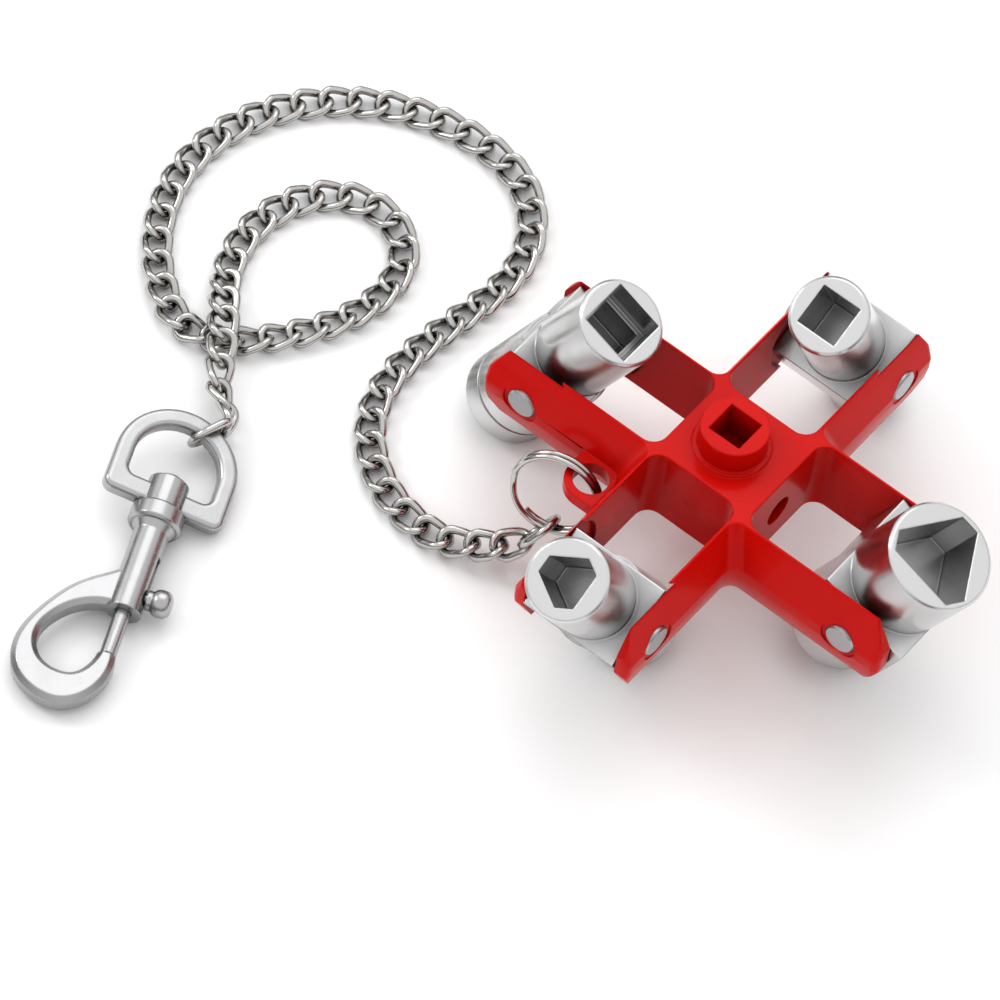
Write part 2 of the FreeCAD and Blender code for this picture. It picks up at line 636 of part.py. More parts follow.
def d_outline(radius, bar, corner):
    """A D in the plane Z = 0: an arch of this radius, closed by a straight bar."""
    top = Vector(EYE_ARCH_AT, radius, 0)
    low = Vector(EYE_ARCH_AT, -radius, 0)
    lean = corner * (1 - math.sqrt(0.5))
    edges = [
        Part.Arc(top, Vector(EYE_ARCH_AT - radius, 0, 0), low).toShape(),
        Part.makeLine(low, Vector(bar - corner, -radius, 0)),
        Part.Arc(Vector(bar - corner, -radius, 0), Vector(bar - lean, -radius + lean, 0),
                 Vector(bar, -radius + corner, 0)).toShape(),
        Part.makeLine(Vector(bar, -radius + corner, 0), Vector(bar, radius - corner, 0)),
        Part.Arc(Vector(bar, radius - corner, 0), Vector(bar - lean, radius - lean, 0),
                 Vector(bar - corner, radius, 0)).toShape(),
        Part.makeLine(Vector(bar - corner, radius, 0), top),
    ]
    return Part.Wire(edges)


outer = Part.Face(d_outline(arch_outer, EYE_BAR_TO, 2.0))
inner = Part.Face(d_outline(arch_inner, EYE_BAR_FROM, 1.6))
eye = outer.extrude(Vector(0, 0, EYE_THICK))
eye = eye.cut(inner.extrude(Vector(0, 0, EYE_THICK)))
eye.translate(Vector(0, 0, -EYE_THICK / 2))
level_edges = [e for e in eye.Edges if abs(abs(e.CenterOfMass.z) - EYE_THICK / 2) < 1e-6]
eye = eye.makeFillet(EYE_EDGE, level_edges)
eye = eye.fuse(cylinder(EYE_BOSS_DIA, EYE_BAR_TO - EYE_BOSS_FROM, Vector(EYE_BOSS_FROM, 0, 0), X))
eye = eye.cut(cylinder(STUD_DIA + 2 * STUD_CLEARANCE, 20, Vector(-12, 0, 0), X))
eye.Placement = eye_place
save("snap_eye", eye)

# ---- rivet: the stud the eye turns on, domed over inside the eye ----
dome_at = EYE_BOSS_FROM - SWIVEL_GAP
collar_at = EYE_BAR_TO + SWIVEL_GAP
dome_radius = ((DOME_DIA / 2) ** 2 + DOME_HEIGHT ** 2) / (2 * DOME_HEIGHT)
ball = Part.makeSphere(dome_radius, Vector(dome_at - DOME_HEIGHT + dome_radius, 0, 0))
dome = ball.common(Part.makeBox(DOME_HEIGHT + 1, 20, 20, Vector(dome_at - DOME_HEIGHT - 1, -10, -10)))
rivet = dome.fuse(cylinder(STUD_DIA, collar_at + STUD_DEPTH - dome_at, Vector(dome_at, 0, 0), X))
rivet.Placement = snap_place
save("snap_rivet", rivet)

# ---- snap body: collar, barrel and open hook ----
HOOK_OUTER = [
    (HOOK_FROM, -HOOK_ROOT), (14.2, -3.9), (17.4, -8.3), (24.7, -13.8), (33.4, -16.4), (38.7, -14.7),
    (42.2, -10.1), (42.7, -4.8), (39.3, -0.2), (33.7, 1.8),
]
HOOK_INNER = [
    (34.0, -2.7), (36.0, -4.7), (36.3, -7.4), (34.7, -10.9), (30.6, -12.6), (26.6, -11.2), (22.5, -6.9),
    (BARREL_TO, -HOOK_ROOT),
]
NOSE_HALF = 1.65
nose_at = BOLT_TIP + NOSE_GAP


def spline(points):
    curve = Part.BSplineCurve()
    curve.interpolate([Vector(x, y, low) for x, y in points])
    return curve.toShape()


outer_points = HOOK_OUTER + [(nose_at, NOSE_HALF)]
inner_points = [(nose_at, -NOSE_HALF)] + HOOK_INNER
low = -HOOK_THICK / 2
hook_wire = Part.Wire([
    spline(outer_points),
    Part.makeLine(Vector(nose_at, NOSE_HALF, low), Vector(nose_at, -NOSE_HALF, low)),
    spline(inner_points),
    Part.makeLine(Vector(BARREL_TO, -HOOK_ROOT, low), Vector(HOOK_FROM, -HOOK_ROOT, low)),
])
hook = Part.Face(hook_wire).extrude(Vector(0, 0, HOOK_THICK))
long_edges = [e for e in hook.Edges if isinstance(e.Curve, Part.BSplineCurve) and e.Length > 20]
hook = hook.makeChamfer(HOOK_EDGE, long_edges)

collar = cylinder(COLLAR_DIA, COLLAR_TO - collar_at, Vector(collar_at, 0, 0), X)
collar = collar.makeChamfer(0.5, [e for e in collar.Edges if isinstance(e.Curve, Part.Circle)])
neck = Part.makeCone(COLLAR_DIA / 2 - 0.9, BARREL_DIA / 2, 1.3, Vector(COLLAR_TO, 0, 0), X)
tube = cylinder(BARREL_DIA, BARREL_TO - COLLAR_TO, Vector(COLLAR_TO, 0, 0), X)
guide = BOLT_DIA + 2 * BOLT_CLEARANCE
slot_half = KNOB_NECK / 2 + SLOT_PLAY
slot_from = KNOB_AT - BOLT_STROKE - slot_half
slot_to = KNOB_AT + slot_half
snap = collar.fuse([neck, tube, hook])
snap = snap.cut(cylinder(STUD_DIA, STUD_DEPTH, Vector(collar_at, 0, 0), X))
snap = snap.cut(cylinder(BARREL_BORE, GUIDE_FROM - BORE_FROM, Vector(BORE_FROM, 0, 0), X))
snap = snap.cut(cylinder(guide, BARREL_TO - GUIDE_FROM + 1, Vector(GUIDE_FROM, 0, 0), X))
slot_corner = Vector(slot_from, 0, -slot_half)
snap = snap.cut(Part.makeBox(slot_to - slot_from, BARREL_DIA, 2 * slot_half, slot_corner))
snap.Placement = snap_place
save("snap_body", snap)

# ---- sliding bolt, its thumb knob and its spring ----
bolt = cylinder(BOLT_DIA, BOLT_TIP - BOLT_REAR, Vector(BOLT_REAR, 0, 0), X)
tip_edge = [e for e in bolt.Edges if isinstance(e.Curve, Part.Circle) and e.Curve.Center.x > BOLT_REAR + 1]
bolt = bolt.makeChamfer(0.4, tip_edge)
bolt = bolt.cut(cylinder(KNOB_NECK, BOLT_DIA, Vector(KNOB_AT, 0, 0), Y))
bolt.Placement = snap_place
save("snap_bolt", bolt)

knob = cylinder(KNOB_NECK, KNOB_OUT, Vector(KNOB_AT, 0, 0), Y)
shoulder_at = BARREL_DIA / 2 + KNOB_PLAY
knob = knob.fuse(cylinder(KNOB_SHOULDER, KNOB_OUT - shoulder_at, Vector(KNOB_AT, shoulder_at, 0), Y))
ball_foot = Vector(KNOB_AT, KNOB_OUT - KNOB_HEAD_HIGH / 2, 0)
ball = cylinder(KNOB_HEAD, KNOB_HEAD_HIGH, ball_foot, Y)
ball = ball.makeFillet(KNOB_ROUND, [e for e in ball.Edges if isinstance(e.Curve, Part.Circle)])
knob = knob.fuse(ball)
knob.Placement = snap_place
save("snap_knob", knob)

spring_room = BOLT_REAR - BORE_FROM
spring_radius = (BARREL_BORE - SPRING_WIRE) / 2 - 0.1
coil_length = spring_room - SPRING_WIRE - 2 * SPRING_END_PLAY
helix = Part.makeHelix(coil_length / SPRING_TURNS, coil_length, spring_radius)
start = Vector(spring_radius, 0, 0)
pitch = coil_length / SPRING_TURNS
rise = Vector(0, 2 * math.pi * spring_radius, pitch).normalize()
profile = Part.Wire(Part.Circle(start, rise, SPRING_WIRE / 2).toShape())
spring = Part.Wire(helix).makePipeShell([profile], True, True)
spring.rotate(Vector(0, 0, 0), Y, 90)
spring.translate(Vector(BORE_FROM + SPRING_END_PLAY + SPRING_WIRE / 2, 0, 0))
spring.Placement = snap_place.multiply(spring.Placement)
save("bolt_spring", spring)
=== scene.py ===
# %% [markdown]
# # A cross-shaped utility key with its chain and snap
# Four double-ended keys swing in the forks of a red enamelled cross. A split ring in its lug
# holds a curb chain, and a swivel bolt snap hangs on the other end.
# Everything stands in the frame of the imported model: metres, Z up, with the origin in the mouth
# of the square drive in the boss. Each piece that is modelled here rides on the body it belongs to.

# %% Load the frame
import math

import bpy
from mathutils import Matrix, Vector


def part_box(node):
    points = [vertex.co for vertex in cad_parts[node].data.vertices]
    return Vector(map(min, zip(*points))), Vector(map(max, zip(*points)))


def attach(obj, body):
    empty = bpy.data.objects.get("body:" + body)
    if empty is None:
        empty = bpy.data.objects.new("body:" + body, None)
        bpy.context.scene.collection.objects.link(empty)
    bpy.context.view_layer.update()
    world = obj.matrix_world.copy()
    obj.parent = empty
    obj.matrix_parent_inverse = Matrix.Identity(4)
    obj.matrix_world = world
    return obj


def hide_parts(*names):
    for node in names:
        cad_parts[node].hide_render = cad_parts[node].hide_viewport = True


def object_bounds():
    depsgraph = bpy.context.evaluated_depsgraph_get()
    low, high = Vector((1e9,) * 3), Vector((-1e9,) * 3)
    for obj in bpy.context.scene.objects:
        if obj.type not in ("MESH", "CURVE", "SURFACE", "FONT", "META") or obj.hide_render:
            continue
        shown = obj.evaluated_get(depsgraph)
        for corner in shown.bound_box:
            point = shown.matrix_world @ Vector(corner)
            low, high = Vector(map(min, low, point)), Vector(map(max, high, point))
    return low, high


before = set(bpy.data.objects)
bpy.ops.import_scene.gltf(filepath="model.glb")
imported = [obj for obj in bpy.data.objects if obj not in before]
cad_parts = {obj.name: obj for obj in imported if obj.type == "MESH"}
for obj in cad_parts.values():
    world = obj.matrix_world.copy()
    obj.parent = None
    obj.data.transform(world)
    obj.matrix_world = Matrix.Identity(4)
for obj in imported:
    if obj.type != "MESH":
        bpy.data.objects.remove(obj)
cad_low, cad_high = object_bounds()
bpy.ops.object.select_all(action="DESELECT")
MM = 0.001
print("CAD box, mm:", [round(v / MM, 1) for v in cad_low], [round(v / MM, 1) for v in cad_high])

# %% [markdown]
# ## Camera
# The key lies on a table and is seen from above, over the corner that the chain leaves from.
# A long lens keeps the arms nearly parallel. The camera is placed by its bearing round the object
# and its height above the horizon, then rolled a little.

# %% Camera
AIM = Vector((-0.02604, -0.03126, -0.0144))
BEARING = math.radians(31.16)
HEIGHT = math.radians(55.97)
ROLL = math.radians(9.0)
DISTANCE = 1.2
LENS = 247.4

back = Vector((math.sin(BEARING) * math.cos(HEIGHT), -math.cos(BEARING) * math.cos(HEIGHT), math.sin(HEIGHT)))
right = Vector((0, 0, 1)).cross(back).normalized()
up = back.cross(right)
rolled_right = right * math.cos(ROLL) + up * math.sin(ROLL)
rolled_up = up * math.cos(ROLL) - right * math.sin(ROLL)
camera = bpy.data.objects.new("camera", bpy.data.cameras.new("camera"))
camera.data.lens = LENS
camera.data.clip_end = 10
camera.matrix_world = Matrix((
    (rolled_right.x, rolled_up.x, back.x, AIM.x + back.x * DISTANCE),
    (rolled_right.y, rolled_up.y, back.y, AIM.y + back.y * DISTANCE),
    (rolled_right.z, rolled_up.z, back.z, AIM.z + back.z * DISTANCE),
    (0, 0, 0, 1),
))
bpy.context.scene.collection.objects.link(camera)
bpy.context.scene.camera = camera
print("camera at", [round(v, 3) for v in camera.location])

# %% [markdown]
# ## The chain's route
# A chain has one length and no stiffness: it hangs from the split ring, lies on the table in two
# loose loops, crosses over itself in a low hump and climbs to the snap's eye. Its line is one
# smooth NURBS curve. Blender gives points along it when the curve is turned into a mesh.

# %% Route
ROUTE = [
    (-0.02344, -0.02482, -0.03200), (-0.02184, -0.02572, -0.03185), (-0.03330, -0.03110, -0.03620),
    (-0.03820, -0.03220, -0.03773), (-0.04790, -0.03140, -0.03773), (-0.05550, -0.02770, -0.03773),
    (-0.06170, -0.02180, -0.03773), (-0.06520, -0.01400, -0.03773), (-0.06600, -0.00550, -0.03773),
    (-0.06520, 0.00290, -0.03773), (-0.06380, 0.01120, -0.03773), (-0.06270, 0.01960, -0.03773),
    (-0.06400, 0.02800, -0.03773), (-0.06850, 0.03540, -0.03773), (-0.07530, 0.04060, -0.03773),
    (-0.08370, 0.04220, -0.03773), (-0.09210, 0.04160, -0.03773), (-0.10030, 0.03930, -0.03773),
    (-0.10780, 0.03530, -0.03773), (-0.11420, 0.02970, -0.03773), (-0.11920, 0.02290, -0.03773),
    (-0.12260, 0.01510, -0.03773), (-0.12410, 0.00670, -0.03773), (-0.12330, -0.00170, -0.03773),
    (-0.12040, -0.00970, -0.03773), (-0.11580, -0.01690, -0.03773), (-0.10970, -0.02250, -0.03773),
    (-0.10230, -0.02750, -0.03773), (-0.09390, -0.02550, -0.03773), (-0.08780, -0.01930, -0.03773),
    (-0.08300, -0.01250, -0.03773), (-0.07910, -0.00480, -0.03773), (-0.07770, 0.00350, -0.03773),
    (-0.07950, 0.01200, -0.03773), (-0.08620, 0.01760, -0.03773), (-0.09510, 0.01750, -0.03773),
    (-0.10190, 0.01210, -0.03773), (-0.10520, 0.00420, -0.03773), (-0.10550, -0.00430, -0.03773),
    (-0.10270, -0.01250, -0.03788), (-0.09790, -0.01890, -0.03491), (-0.09260, -0.02530, -0.03378),
    (-0.08487, -0.03694, -0.03539), (-0.07843, -0.03680, -0.03561), (-0.07962, -0.03996, -0.03424),
]

route_curve = bpy.data.curves.new("route", "CURVE")
route_curve.dimensions = "3D"
route_curve.resolution_u = 16
route_line = route_curve.splines.new("NURBS")
route_line.points.add(len(ROUTE) - 1)
for point, place in zip(route_line.points, ROUTE):
    point.co = (*place, 1)
route_line.order_u = 3
route_line.use_endpoint_u = True
route_object = bpy.data.objects.new("route", route_curve)
route_mesh = bpy.data.meshes.new_from_object(route_object)
route = [vertex.co.copy() for vertex in route_mesh.vertices]
bpy.data.objects.remove(route_object)

distances = [0.0]
for a, b in zip(route, route[1:]):
    distances.append(distances[-1] + (b - a).length)
ROUTE_LENGTH = distances[-1]
print("route: %d points, %.1f mm" % (len(route), ROUTE_LENGTH / MM))

# %% [markdown]
# ## Picking and finishing
# Edit-mode tools work on what is selected. Each of these functions clears the old selection in
# edit mode first, because faces and edges that stay selected would select their vertices again.

# %% Picking
def clear_picks(piece, mode):
    """Leaves nothing selected in this piece, in object mode."""
    bpy.context.view_layer.objects.active = piece
    bpy.ops.object.mode_set(mode="EDIT")
    bpy.ops.mesh.select_mode(type=mode)
    bpy.ops.mesh.select_all(action="DESELECT")
    bpy.ops.object.mode_set(mode="OBJECT")


def pick(piece, test):
    """Selects the vertices whose place passes the test."""
    clear_picks(piece, "VERT")
    for vertex in piece.data.vertices:
        vertex.select = test(vertex.co)
    bpy.ops.object.mode_set(mode="EDIT")


def pick_edges(piece, test):
    """Selects the edges whose two ends pass the test together."""
    clear_picks(piece, "EDGE")
    points = piece.data.vertices
    for edge in piece.data.edges:
        a, b = edge.vertices
        edge.select = test(points[a].co, points[b].co)
    bpy.ops.object.mode_set(mode="EDIT")


def pick_faces(piece, test):
    """Selects the faces all of whose corners pass the test."""
    clear_picks(piece, "FACE")
    points = piece.data.vertices
    for face in piece.data.polygons:
        face.select = all(test(points[i].co) for i in face.vertices)
    bpy.ops.object.mode_set(mode="EDIT")


def done():
    """Leaves edit mode with nothing selected."""
    bpy.ops.object.mode_set(mode="OBJECT")
    bpy.ops.object.select_all(action="DESELECT")


def finish_shape(piece, modifier):
    """Applies the modifier."""
    bpy.context.view_layer.objects.active = piece
    bpy.ops.object.modifier_apply(modifier=modifier.name)


# %% [markdown]
# ## One link of the chain
# A curb link starts as a ring of wire, is pulled out to an oval and is then twisted, so that
# each link lies flat on its neighbours. A torus gives the ring. In edit mode its two halves move
# apart, which leaves the wire as round as it was, the straight stretches between them are divided,
# and the Twist deform turns the ends.

# %% Link
LINK_WIRE = 1.6 * MM
LINK_WIDTH = 6.2 * MM
LINK_LENGTH = 8.6 * MM
LINK_TWIST = math.radians(-90)

bpy.ops.mesh.primitive_torus_add(
    major_radius=(LINK_WIDTH - LINK_WIRE) / 2, minor_radius=LINK_WIRE / 2,
    major_segments=30, minor_segments=10,
)
link = bpy.context.object
link.name = "chain_link"
apart = (LINK_LENGTH - LINK_WIDTH) / 2
for side in (-1, 1):
    pick(link, lambda p: p.x * side > 0)
    bpy.ops.transform.translate(value=(side * apart, 0, 0))
pick_edges(link, lambda a, b: a.x * b.x < 0)
bpy.ops.mesh.subdivide(number_cuts=4)
bpy.ops.object.mode_set(mode="OBJECT")
twist = link.modifiers.new("twist", "SIMPLE_DEFORM")
twist.deform_method = "TWIST"
twist.deform_axis = "X"
twist.angle = LINK_TWIST
finish_shape(link, twist)
bpy.ops.object.shade_smooth()
print("link:", len(link.data.polygons), "faces,", [round(v / MM, 2) for v in link.dimensions], "mm")

# %% [markdown]
# ## The chain
# Each link's two ends lie on the route, a pitch apart, and its flat side looks up. Near the split
# ring and near the snap the links roll over, a little more from one to the next, until they meet
# the plain end links.

# %% Chain
LINKS = 68
LIE = math.radians(-10)
START_ROLL, START_ROLL_LINKS = math.radians(-2.4), 4
END_ROLL, END_ROLL_LINKS = math.radians(-58.0), 4
pitch = ROUTE_LENGTH / LINKS


def route_at(distance):
    """The point of the route at this distance from its start."""
    distance = min(max(distance, 0.0), ROUTE_LENGTH)
    i = min(sum(d <= distance for d in distances), len(route) - 1)
    part = (distance - distances[i - 1]) / (distances[i] - distances[i - 1])
    return route[i - 1].lerp(route[i], part)


copies = []
for i in range(LINKS):
    start, end = route_at(pitch * i), route_at(pitch * (i + 1))
    along = (end - start).normalized()
    level = (Vector((0, 0, 1)) - along * along.z).normalized()
    across = level.cross(along)
    roll = LIE + START_ROLL * max(0, 1 - i / START_ROLL_LINKS)
    roll += END_ROLL * max(0, 1 - (LINKS - 1 - i) / END_ROLL_LINKS)
    turn = Matrix((along, across, level)).transposed().to_4x4()
    place = Matrix.Translation((start + end) / 2) @ turn @ Matrix.Rotation(roll, 4, "X")
    copy = bpy.data.objects.new("link", link.data.copy())
    copy.data.transform(place)
    bpy.context.scene.collection.objects.link(copy)
    copies.append(copy)
bpy.data.objects.remove(link)
bpy.ops.object.select_all(action="DESELECT")
for copy in copies:
    copy.select_set(True)
bpy.context.view_layer.objects.active = copies[0]
bpy.ops.object.join()
chain = copies[0]
chain.name = "chain"
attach(chain, "frame")
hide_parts("chain_run_1", "chain_run_2", "chain_run_3", "chain_run_4")
print("chain:", LINKS, "links,", len(chain.data.polygons), "faces")

# %% [markdown]
# ## The cross: plan and cheeks
# The real cross is one zinc die casting. Its plan is a plus, so it starts as a grid of nine
# squares without its four corners. The outer cheek of each arm is thin at the top edge, swells
# to its widest beside the pins and draws in again below, so the plan is extruded downward level
# by level, and each arm's flanks are moved out or in at every level.

# %% Cross plan
PIN_Z = (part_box("pin_west")[0].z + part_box("pin_west")[1].z) / 2
REACH = -(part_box("pin_west")[0].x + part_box("pin_west")[1].x) / 2
HALF_HEIGHT, PAST_PIN = 8.75 * MM, 8.5 * MM
TOP, BOTTOM = PIN_Z + HALF_HEIGHT, PIN_Z - HALF_HEIGHT
TIP = REACH + PAST_PIN
SAME_LEVEL, SAME_PLACE = 0.001 * MM, 0.01 * MM
LEVELS = [TOP, TOP - 1.8 * MM, TOP - 3.4 * MM, PIN_Z + 0.5 * MM, PIN_Z - 2 * MM, BOTTOM + 3.7 * MM, BOTTOM]

# each arm: the way it points, half of its fork's gap, its root wall, the width of a cheek at
# each level, and how deep the round relief inside the fork is
ARMS = {
    "west": (Vector((-1, 0, 0)), 9.35, 9.6, (0.45, 1.35, 2.15, 3.9, 3.9, 3.25, 1.9), 0.7),
    "east": (Vector((1, 0, 0)), 11.4, 11.6, (0.45, 1.1, 1.7, 3.4, 3.4, 2.7, 1.2), 0.0),
    "south": (Vector((0, -1, 0)), 9.3, 9.7, (0.45, 1.15, 1.75, 3.5, 3.5, 3.0, 2.1), 0.7),
    "north": (Vector((0, 1, 0)), 9.4, 9.8, (0.45, 1.15, 1.75, 3.4, 3.4, 3.0, 2.2), 0.7),
}

bpy.ops.mesh.primitive_grid_add(x_subdivisions=3, y_subdivisions=3, size=2 * TIP, location=(0, 0, TOP))
bpy.ops.object.transform_apply()
cross = bpy.context.object
cross.name = "cross"
third = TIP / 3
for sx in (-1, 1):
    for sy in (-1, 1):
        pick_faces(cross, lambda p: p.x * sx > third - SAME_PLACE and p.y * sy > third - SAME_PLACE)
        bpy.ops.mesh.delete(type="FACE")
done()


def flanks(level, before, after):
    """Moves both flanks of each arm at this level from one half width to another."""
    for name, (along, *_) in ARMS.items():
        across = Vector((-along.y, along.x, 0))
        for side in (-1, 1):
            def on_flank(p):
                """Whether p is on this flank of this arm, at this level."""
                out = p.dot(across) * side
                return abs(p.z - level) < SAME_LEVEL and p.dot(along) > 0 and 0 < out < TIP * 0.7
            pick(cross, on_flank)
            bpy.ops.transform.translate(value=across * side * (after[name] - before[name]))


widths = [{name: (arm[1] + arm[3][i]) * MM for name, arm in ARMS.items()} for i in range(len(LEVELS))]
flanks(TOP, {name: third for name in ARMS}, widths[0])
for i in range(1, len(LEVELS)):
    pick_faces(cross, lambda p: abs(p.z - LEVELS[i - 1]) < SAME_LEVEL)
    bpy.ops.mesh.extrude_region_move(TRANSFORM_OT_translate={"value": (0, 0, LEVELS[i] - LEVELS[i - 1])})
    flanks(LEVELS[i], widths[i - 1], widths[i])
bpy.ops.mesh.select_all(action="SELECT")
bpy.ops.mesh.normals_make_consistent(inside=False)
done()
print("cross plan:", len(cross.data.polygons), "faces")

# %% [markdown]
# Everything else on the cross is cut away or joined on with plain blocks and rods, so three short
# functions make a block, make a rod and combine either with the casting through a Boolean.

# %% Cutters
def block(name, low, high, radius=0.0, rounded=None):
    """A box between two corners; the edges whose two ends pass the test are rounded."""
    low, high = Vector(low), Vector(high)
    bpy.ops.mesh.primitive_cube_add(size=1, location=(low + high) / 2)
    piece = bpy.context.object
    piece.name = name
    piece.scale = high - low
    bpy.ops.object.transform_apply()
    if rounded:
        pick_edges(piece, rounded)
        bpy.ops.mesh.bevel(offset=radius, segments=8, affect="EDGES")
        done()
    return piece


def rod(name, diameter, start, end, sides=48):
    """A cylinder from start to end."""
    start, end = Vector(start), Vector(end)
    bpy.ops.mesh.primitive_cylinder_add(vertices=sides, radius=diameter / 2, depth=(end - start).length)
    piece = bpy.context.object
    piece.name = name
    piece.rotation_mode = "QUATERNION"
    piece.rotation_quaternion = (end - start).to_track_quat("Z", "Y")
    piece.location = (start + end) / 2
    bpy.ops.object.transform_apply()
    return piece


def combine(piece, tool, operation="DIFFERENCE"):
    """Cuts, joins or intersects the piece with a tool, which is used up."""
    change = piece.modifiers.new(tool.name, "BOOLEAN")
    change.object = tool
    change.operation = operation
    change.solver = "MANIFOLD"
    finish_shape(piece, change)
    bpy.data.objects.remove(tool)


def facing(along):
    """Turns +X to the way an arm points."""
    return Matrix.Rotation(math.atan2(along.y, along.x), 4, "Z")


# %% [markdown]
# The pattern maker rounds the corners where two arms meet, and the tips a little less. The ends
# of the arms slope back from a short upright facet: a tilted block takes off each slope.

# %% Corners and tips
INNER_CORNER, TIP_CORNER = 2.5 * MM, 1.4 * MM
TIP_FACET, TOP_PAST_PIN = 5.0 * MM, 5.3 * MM
SLOPE_DEEP, SLOPE_HALF = 15 * MM, 20 * MM
upright = TIP * 0.9


def upright_edge(a, b):
    """Whether the edge between a and b runs down a wall."""
    return abs(a.z - b.z) > 0.1 * MM


pick_edges(cross, lambda a, b: upright_edge(a, b) and max(abs(a.x), abs(a.y)) < upright)
bpy.ops.mesh.bevel(offset=INNER_CORNER, segments=6, affect="EDGES", clamp_overlap=False)
done()
pick_edges(cross, lambda a, b: upright_edge(a, b) and max(abs(a.x), abs(a.y)) > upright)
bpy.ops.mesh.bevel(offset=TIP_CORNER, segments=6, affect="EDGES", clamp_overlap=False)
done()
for along, *_ in ARMS.values():
    for way, edge in ((1, TOP), (-1, BOTTOM)):
        flat = PIN_Z + way * TIP_FACET / 2
        tilt = math.atan2(TIP - REACH - TOP_PAST_PIN, abs(edge - flat)) * way
        slope = block("slope", (0, -SLOPE_HALF, -SLOPE_HALF), (SLOPE_DEEP, SLOPE_HALF, SLOPE_HALF))
        lean = Matrix.Translation((TIP, 0, flat)) @ Matrix.Rotation(-tilt, 4, "Y")
        slope.data.transform(facing(along) @ lean)
        combine(cross, slope)
print("cross:", len(cross.data.polygons), "faces, box", [round(v / MM, 1) for v in cross.dimensions])

# %% [markdown]
# The fork of each arm is a gap right through the casting, with round blind corners. The middle
# carries a round boss on a low foot, and an ear for the split ring stands in one inner corner.

# %% Forks, boss and ear
WINDOW_CORNER = 3.0 * MM
BOSS, BOSS_FOOT, FOOT_HEIGHT = 12.4 * MM, 14.2 * MM, 0.5 * MM
EAR_HOLE, EAR_RIM, EAR_THICK = 6.5 * MM, 1.5 * MM, 2.8 * MM
EAR_X, EAR_Y, EAR_TOP = -16.8 * MM, -17.3 * MM, PIN_Z + 0.4 * MM
EAR_ROOT = -10.5 * MM

for along, gap, wall, *_ in ARMS.values():
    half, root = gap * MM, wall * MM
    fork = block(
        "fork", (root, -half, BOTTOM - MM), (TIP + 9 * MM, half, TOP + MM),
        WINDOW_CORNER, lambda a, b: a.x + b.x < 2.1 * root and abs(a.z - b.z) > MM)
    fork.data.transform(facing(along))
    combine(cross, fork)

combine(cross, rod("foot", BOSS_FOOT, (0, 0, TOP - MM), (0, 0, TOP + FOOT_HEIGHT), 72), "UNION")
combine(cross, rod("boss", BOSS, (0, 0, TOP - MM), (0, 0, 0), 72), "UNION")
ear_reach = EAR_HOLE / 2 + EAR_RIM
ear = block(
    "ear", (EAR_X - ear_reach, EAR_Y - ear_reach, EAR_TOP - EAR_THICK), (EAR_ROOT, EAR_ROOT, EAR_TOP),
    ear_reach * 0.98, lambda a, b: max(a.x, b.x) < EAR_X and max(a.y, b.y) < EAR_Y)
combine(cross, ear, "UNION")
print("cross with forks, boss and ear:", len(cross.data.polygons), "faces")

# %% [markdown]
# A casting and a coat of enamel leave no sharp edge, so every crease gets a narrow bevel. The mesh
# is cut into triangles first: a bevel can fold a large face that has a hole in it.

# %% Soft edges
EDGE = 0.21 * MM
bpy.context.view_layer.objects.active = cross
bpy.ops.object.mode_set(mode="EDIT")
bpy.ops.mesh.select_all(action="SELECT")
bpy.ops.mesh.remove_doubles(threshold=0.05 * MM)
bpy.ops.mesh.quads_convert_to_tris(quad_method="BEAUTY", ngon_method="BEAUTY")
bpy.ops.mesh.normals_make_consistent(inside=False)
done()
soften = cross.modifiers.new("soften", "BEVEL")
soften.width = EDGE
soften.segments = 3
soften.limit_method = "ANGLE"
soften.angle_limit = math.radians(16)
soften.use_clamp_overlap = False
finish_shape(cross, soften)
print("cross, softened:", len(cross.data.polygons), "faces")

# %% [markdown]
# The machined holes come after the bevel, so they keep their crisp rims: the round relief inside
# three forks that gives the key room to turn, the pin's hole through both cheeks with its shallow
# recess, the square drive in the boss, the ear's hole and the plain bore in the east arm's root.

# %% Holes
PIN_HOLE, RECESS, RECESS_DEPTH, RELIEF = 6 * MM, 7.5 * MM, 0.4 * MM, 21 * MM
DRIVE, DRIVE_DEPTH = 6.7 * MM, 8.5 * MM
BORE, BORE_FROM, BORE_TO, BORE_Z = 6 * MM, 0.6 * MM, 12.6 * MM, PIN_Z - 0.5 * MM

for along, gap, _, cheek, relief in ARMS.values():
    outer = (gap + cheek[3]) * MM
    start, end = (REACH, -outer - MM, PIN_Z), (REACH, outer + MM, PIN_Z)
    cutters = [rod("pin_hole", PIN_HOLE, start, end, 40)]
    if relief:
        deep = (gap + relief) * MM
        cutters.append(rod("relief", RELIEF, (REACH, -deep, PIN_Z), (REACH, deep, PIN_Z), 72))
    recess = outer - RECESS_DEPTH
    for side in (-1, 1):
        start, end = (REACH, side * recess, PIN_Z), (REACH, side * (outer + MM), PIN_Z)
        cutters.append(rod("recess", RECESS, start, end))
    for cutter in cutters:
        cutter.data.transform(facing(along))
        combine(cross, cutter)

ear_from, ear_to = (EAR_X, EAR_Y, EAR_TOP - 2 * EAR_THICK), (EAR_X, EAR_Y, EAR_TOP + MM)
combine(cross, rod("ear_hole", EAR_HOLE, ear_from, ear_to))
half = DRIVE / 2
combine(cross, block("drive", (-half, -half, -DRIVE_DEPTH), (half, half, MM)))
combine(cross, rod("bore", BORE, (BORE_FROM, 0, BORE_Z), (BORE_TO, 0, BORE_Z)))

cross.select_set(True)
bpy.context.view_layer.objects.active = cross
bpy.ops.object.shade_smooth_by_angle(angle=math.radians(34))
even = cross.modifiers.new("even", "WEIGHTED_NORMAL")
even.keep_sharp = True
finish_shape(cross, even)
done()
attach(cross, "frame")
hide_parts("cross_body")
print("cross:", len(cross.data.polygons), "faces")

